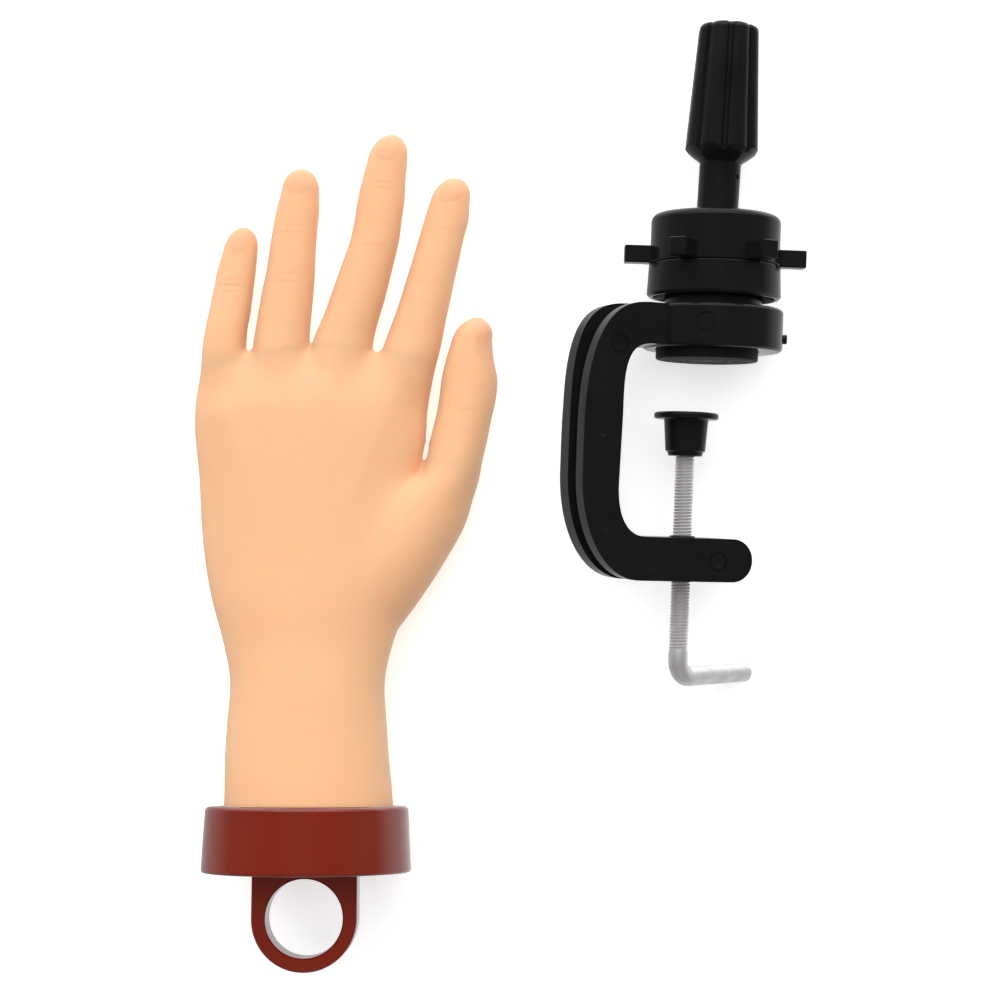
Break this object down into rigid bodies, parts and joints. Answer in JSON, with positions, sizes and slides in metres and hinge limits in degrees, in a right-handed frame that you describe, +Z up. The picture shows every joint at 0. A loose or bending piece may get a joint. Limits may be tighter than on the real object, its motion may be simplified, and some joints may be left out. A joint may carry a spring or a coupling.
{
  "type": "nail practice hand",
  "caption": "Soft posable practice hand on a glossy cap with a hanging ring, lying beside the table clamp whose fluted cone carries it.",
  "frame": {"origin": "on the surface the kit lies on, under the middle of its box", "axes": "+Y from the hand's cap to its fingertips, along the longest side; +X from the hand to the clamp; +Z up"},
  "size_m": [0.1938, 0.2972, 0.066],
  "materials": {
    "skin": "soft satin silicone",
    "cap_gloss": "polished red-brown",
    "black_plastic": "satin black moulding",
    "pad_rubber": "matt black",
    "dark_insert": "blackened",
    "zinc_steel": "bright zinc",
    "core_plastic": "natural"
  },
  "bodies": {
    "hand": {"palm_skin": "skin", "wrist_plug": "core_plastic", "palm_armature": "zinc_steel", "base_cap": "cap_gloss", "ring_lug": "cap_gloss", "cap_screw_upper": "zinc_steel", "cap_screw_lower": "zinc_steel"},
    "little": {"little_finger": "skin", "little_wire": "zinc_steel"},
    "ring": {"ring_finger": "skin", "ring_wire": "zinc_steel"},
    "middle": {"middle_finger": "skin", "middle_wire": "zinc_steel"},
    "index": {"index_finger": "skin", "index_wire": "zinc_steel"},
    "thumb": {"thumb": "skin", "thumb_wire": "zinc_steel"},
    "clamp": {"clamp_frame": "black_plastic", "jaw_pad": "pad_rubber", "pivot_bolt": "zinc_steel", "pivot_nut": "zinc_steel", "arm_insert": "dark_insert"},
    "cup": {"swivel_cup": "black_plastic"},
    "lock": {"lock_ring": "black_plastic"},
    "cone": {"ball_stem": "black_plastic", "fluted_cone": "black_plastic", "neck_pin": "zinc_steel"},
    "foot": {"screw_foot": "black_plastic", "foot_clip": "zinc_steel"},
    "screw": {"clamp_screw": "zinc_steel"}
  },
  "joints": [
    {"name": "little_finger_bend", "type": "hinge", "parent": "hand", "child": "little", "pos_m": [-0.08759, 0.05086, 0.01274], "axis": [-0.9888, 0.148, -0.0213], "range_deg": [-20, 40]},
    {"name": "ring_finger_bend", "type": "hinge", "parent": "hand", "child": "ring", "pos_m": [-0.06887, 0.05377, 0.01232], "axis": [-0.9949, 0.1, -0.0144], "range_deg": [-20, 40]},
    {"name": "middle_finger_bend", "type": "hinge", "parent": "hand", "child": "middle", "pos_m": [-0.0475, 0.0553, 0.0121], "axis": [-0.9781, 0.2058, -0.0297], "range_deg": [-20, 40]},
    {"name": "index_finger_bend", "type": "hinge", "parent": "hand", "child": "index", "pos_m": [-0.02606, 0.05178, 0.0126], "axis": [-0.9711, 0.2361, -0.034], "range_deg": [-20, 40]},
    {"name": "thumb_spread", "type": "hinge", "parent": "hand", "child": "thumb", "pos_m": [-0.01198, 0.0179, 0.01597], "axis": [0.0062, -0.1015, -0.9948], "range_deg": [0, 30]},
    {"name": "clamp_lift", "type": "slide", "parent": "hand", "child": "clamp", "axis": [0, 0, 1], "range_m": [0, 0.2]},
    {"name": "cup_swivel", "type": "hinge", "parent": "clamp", "child": "cup", "pos_m": [0.06848, 0.07719, 0.02606], "axis": [0.0349, 0.9994, 0], "continuous": true},
    {"name": "lock_ring_turn", "type": "hinge", "parent": "cup", "child": "lock", "pos_m": [0.06848, 0.07719, 0.02606], "axis": [0.0349, 0.9994, 0], "range_deg": [0, 90]},
    {"name": "cone_tilt", "type": "hinge", "parent": "cup", "child": "cone", "pos_m": [0.06848, 0.07719, 0.02606], "axis": [0.3582, -0.0125, 0.9336], "range_deg": [-16, 18]},
    {"name": "foot_travel", "type": "slide", "parent": "clamp", "child": "foot", "axis": [0.0349, 0.9994, 0], "range_m": [-0.022, 0.016]},
    {"name": "screw_turn", "type": "hinge", "parent": "foot", "child": "screw", "pos_m": [0.05756, -0.02169, 0.02892], "axis": [0.0349, 0.9994, 0], "range_deg": [-7930, 5770]}
  ],
  "couplings": [
    {"joint": "screw_turn", "follows": "foot_travel", "rad_per_m": 6283.2}
  ]
}
